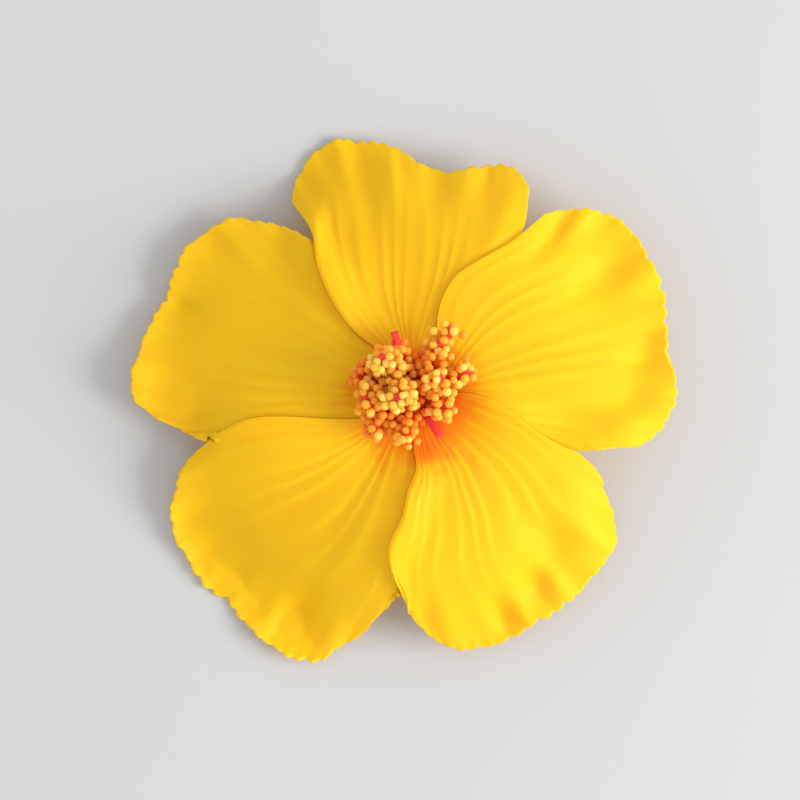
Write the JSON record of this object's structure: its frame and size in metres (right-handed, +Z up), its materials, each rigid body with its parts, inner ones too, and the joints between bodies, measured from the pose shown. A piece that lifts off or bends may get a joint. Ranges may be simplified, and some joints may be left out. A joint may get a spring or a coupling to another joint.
{
  "type": "flower hair clip",
  "caption": "Yellow foam hibiscus with a beaded red stamen, glued on felt to a spring-loaded steel hair clip whose lower jaw opens on a riveted hinge.",
  "frame": {"origin": "middle of the flower's width and depth, on the plane it rests on", "axes": "+Z up out of the flower's face, +X along the flower's longest width and along the clip from its jaw tip to its finger pads, +Y towards the top petal"},
  "size_m": [0.1102, 0.1064, 0.0327],
  "materials": {
    "yellow_foam": "matte",
    "red_foam": "matte",
    "beads": "satin",
    "felt": "matte",
    "hot_glue": "satin",
    "steel": "satin",
    "spring_wire": "satin"
  },
  "bodies": {
    "flower": {"petal_top": "yellow_foam", "petal_right": "yellow_foam", "petal_lower_right": "yellow_foam", "petal_lower_left": "yellow_foam", "petal_left": "yellow_foam", "petal_hub": "yellow_foam", "stamen_comb": "red_foam", "pollen_cluster_01": "beads", "pollen_cluster_02": "beads", "pollen_cluster_03": "beads", "pollen_cluster_04": "beads", "pollen_cluster_05": "beads", "pollen_cluster_06": "beads", "pollen_cluster_07": "beads", "pollen_cluster_08": "beads", "pollen_cluster_09": "beads", "pollen_cluster_10": "beads", "pollen_cluster_11": "beads", "pollen_cluster_12": "beads", "felt_backing": "felt", "glue_bed": "hot_glue", "clip_plate": "steel", "hinge_pin": "steel", "clip_spring": "spring_wire"},
    "lever": {"clip_lever": "steel"}
  },
  "joints": [
    {"name": "jaw_hinge", "type": "hinge", "parent": "flower", "child": "lever", "pos_m": [0.006, 0, 0.0066], "axis": [0, -1, 0], "range_deg": [0, 24], "stiffness_Nm_per_rad": 0.03, "springref_deg": -45.84, "deforming": ["clip_spring"]}
  ]
}
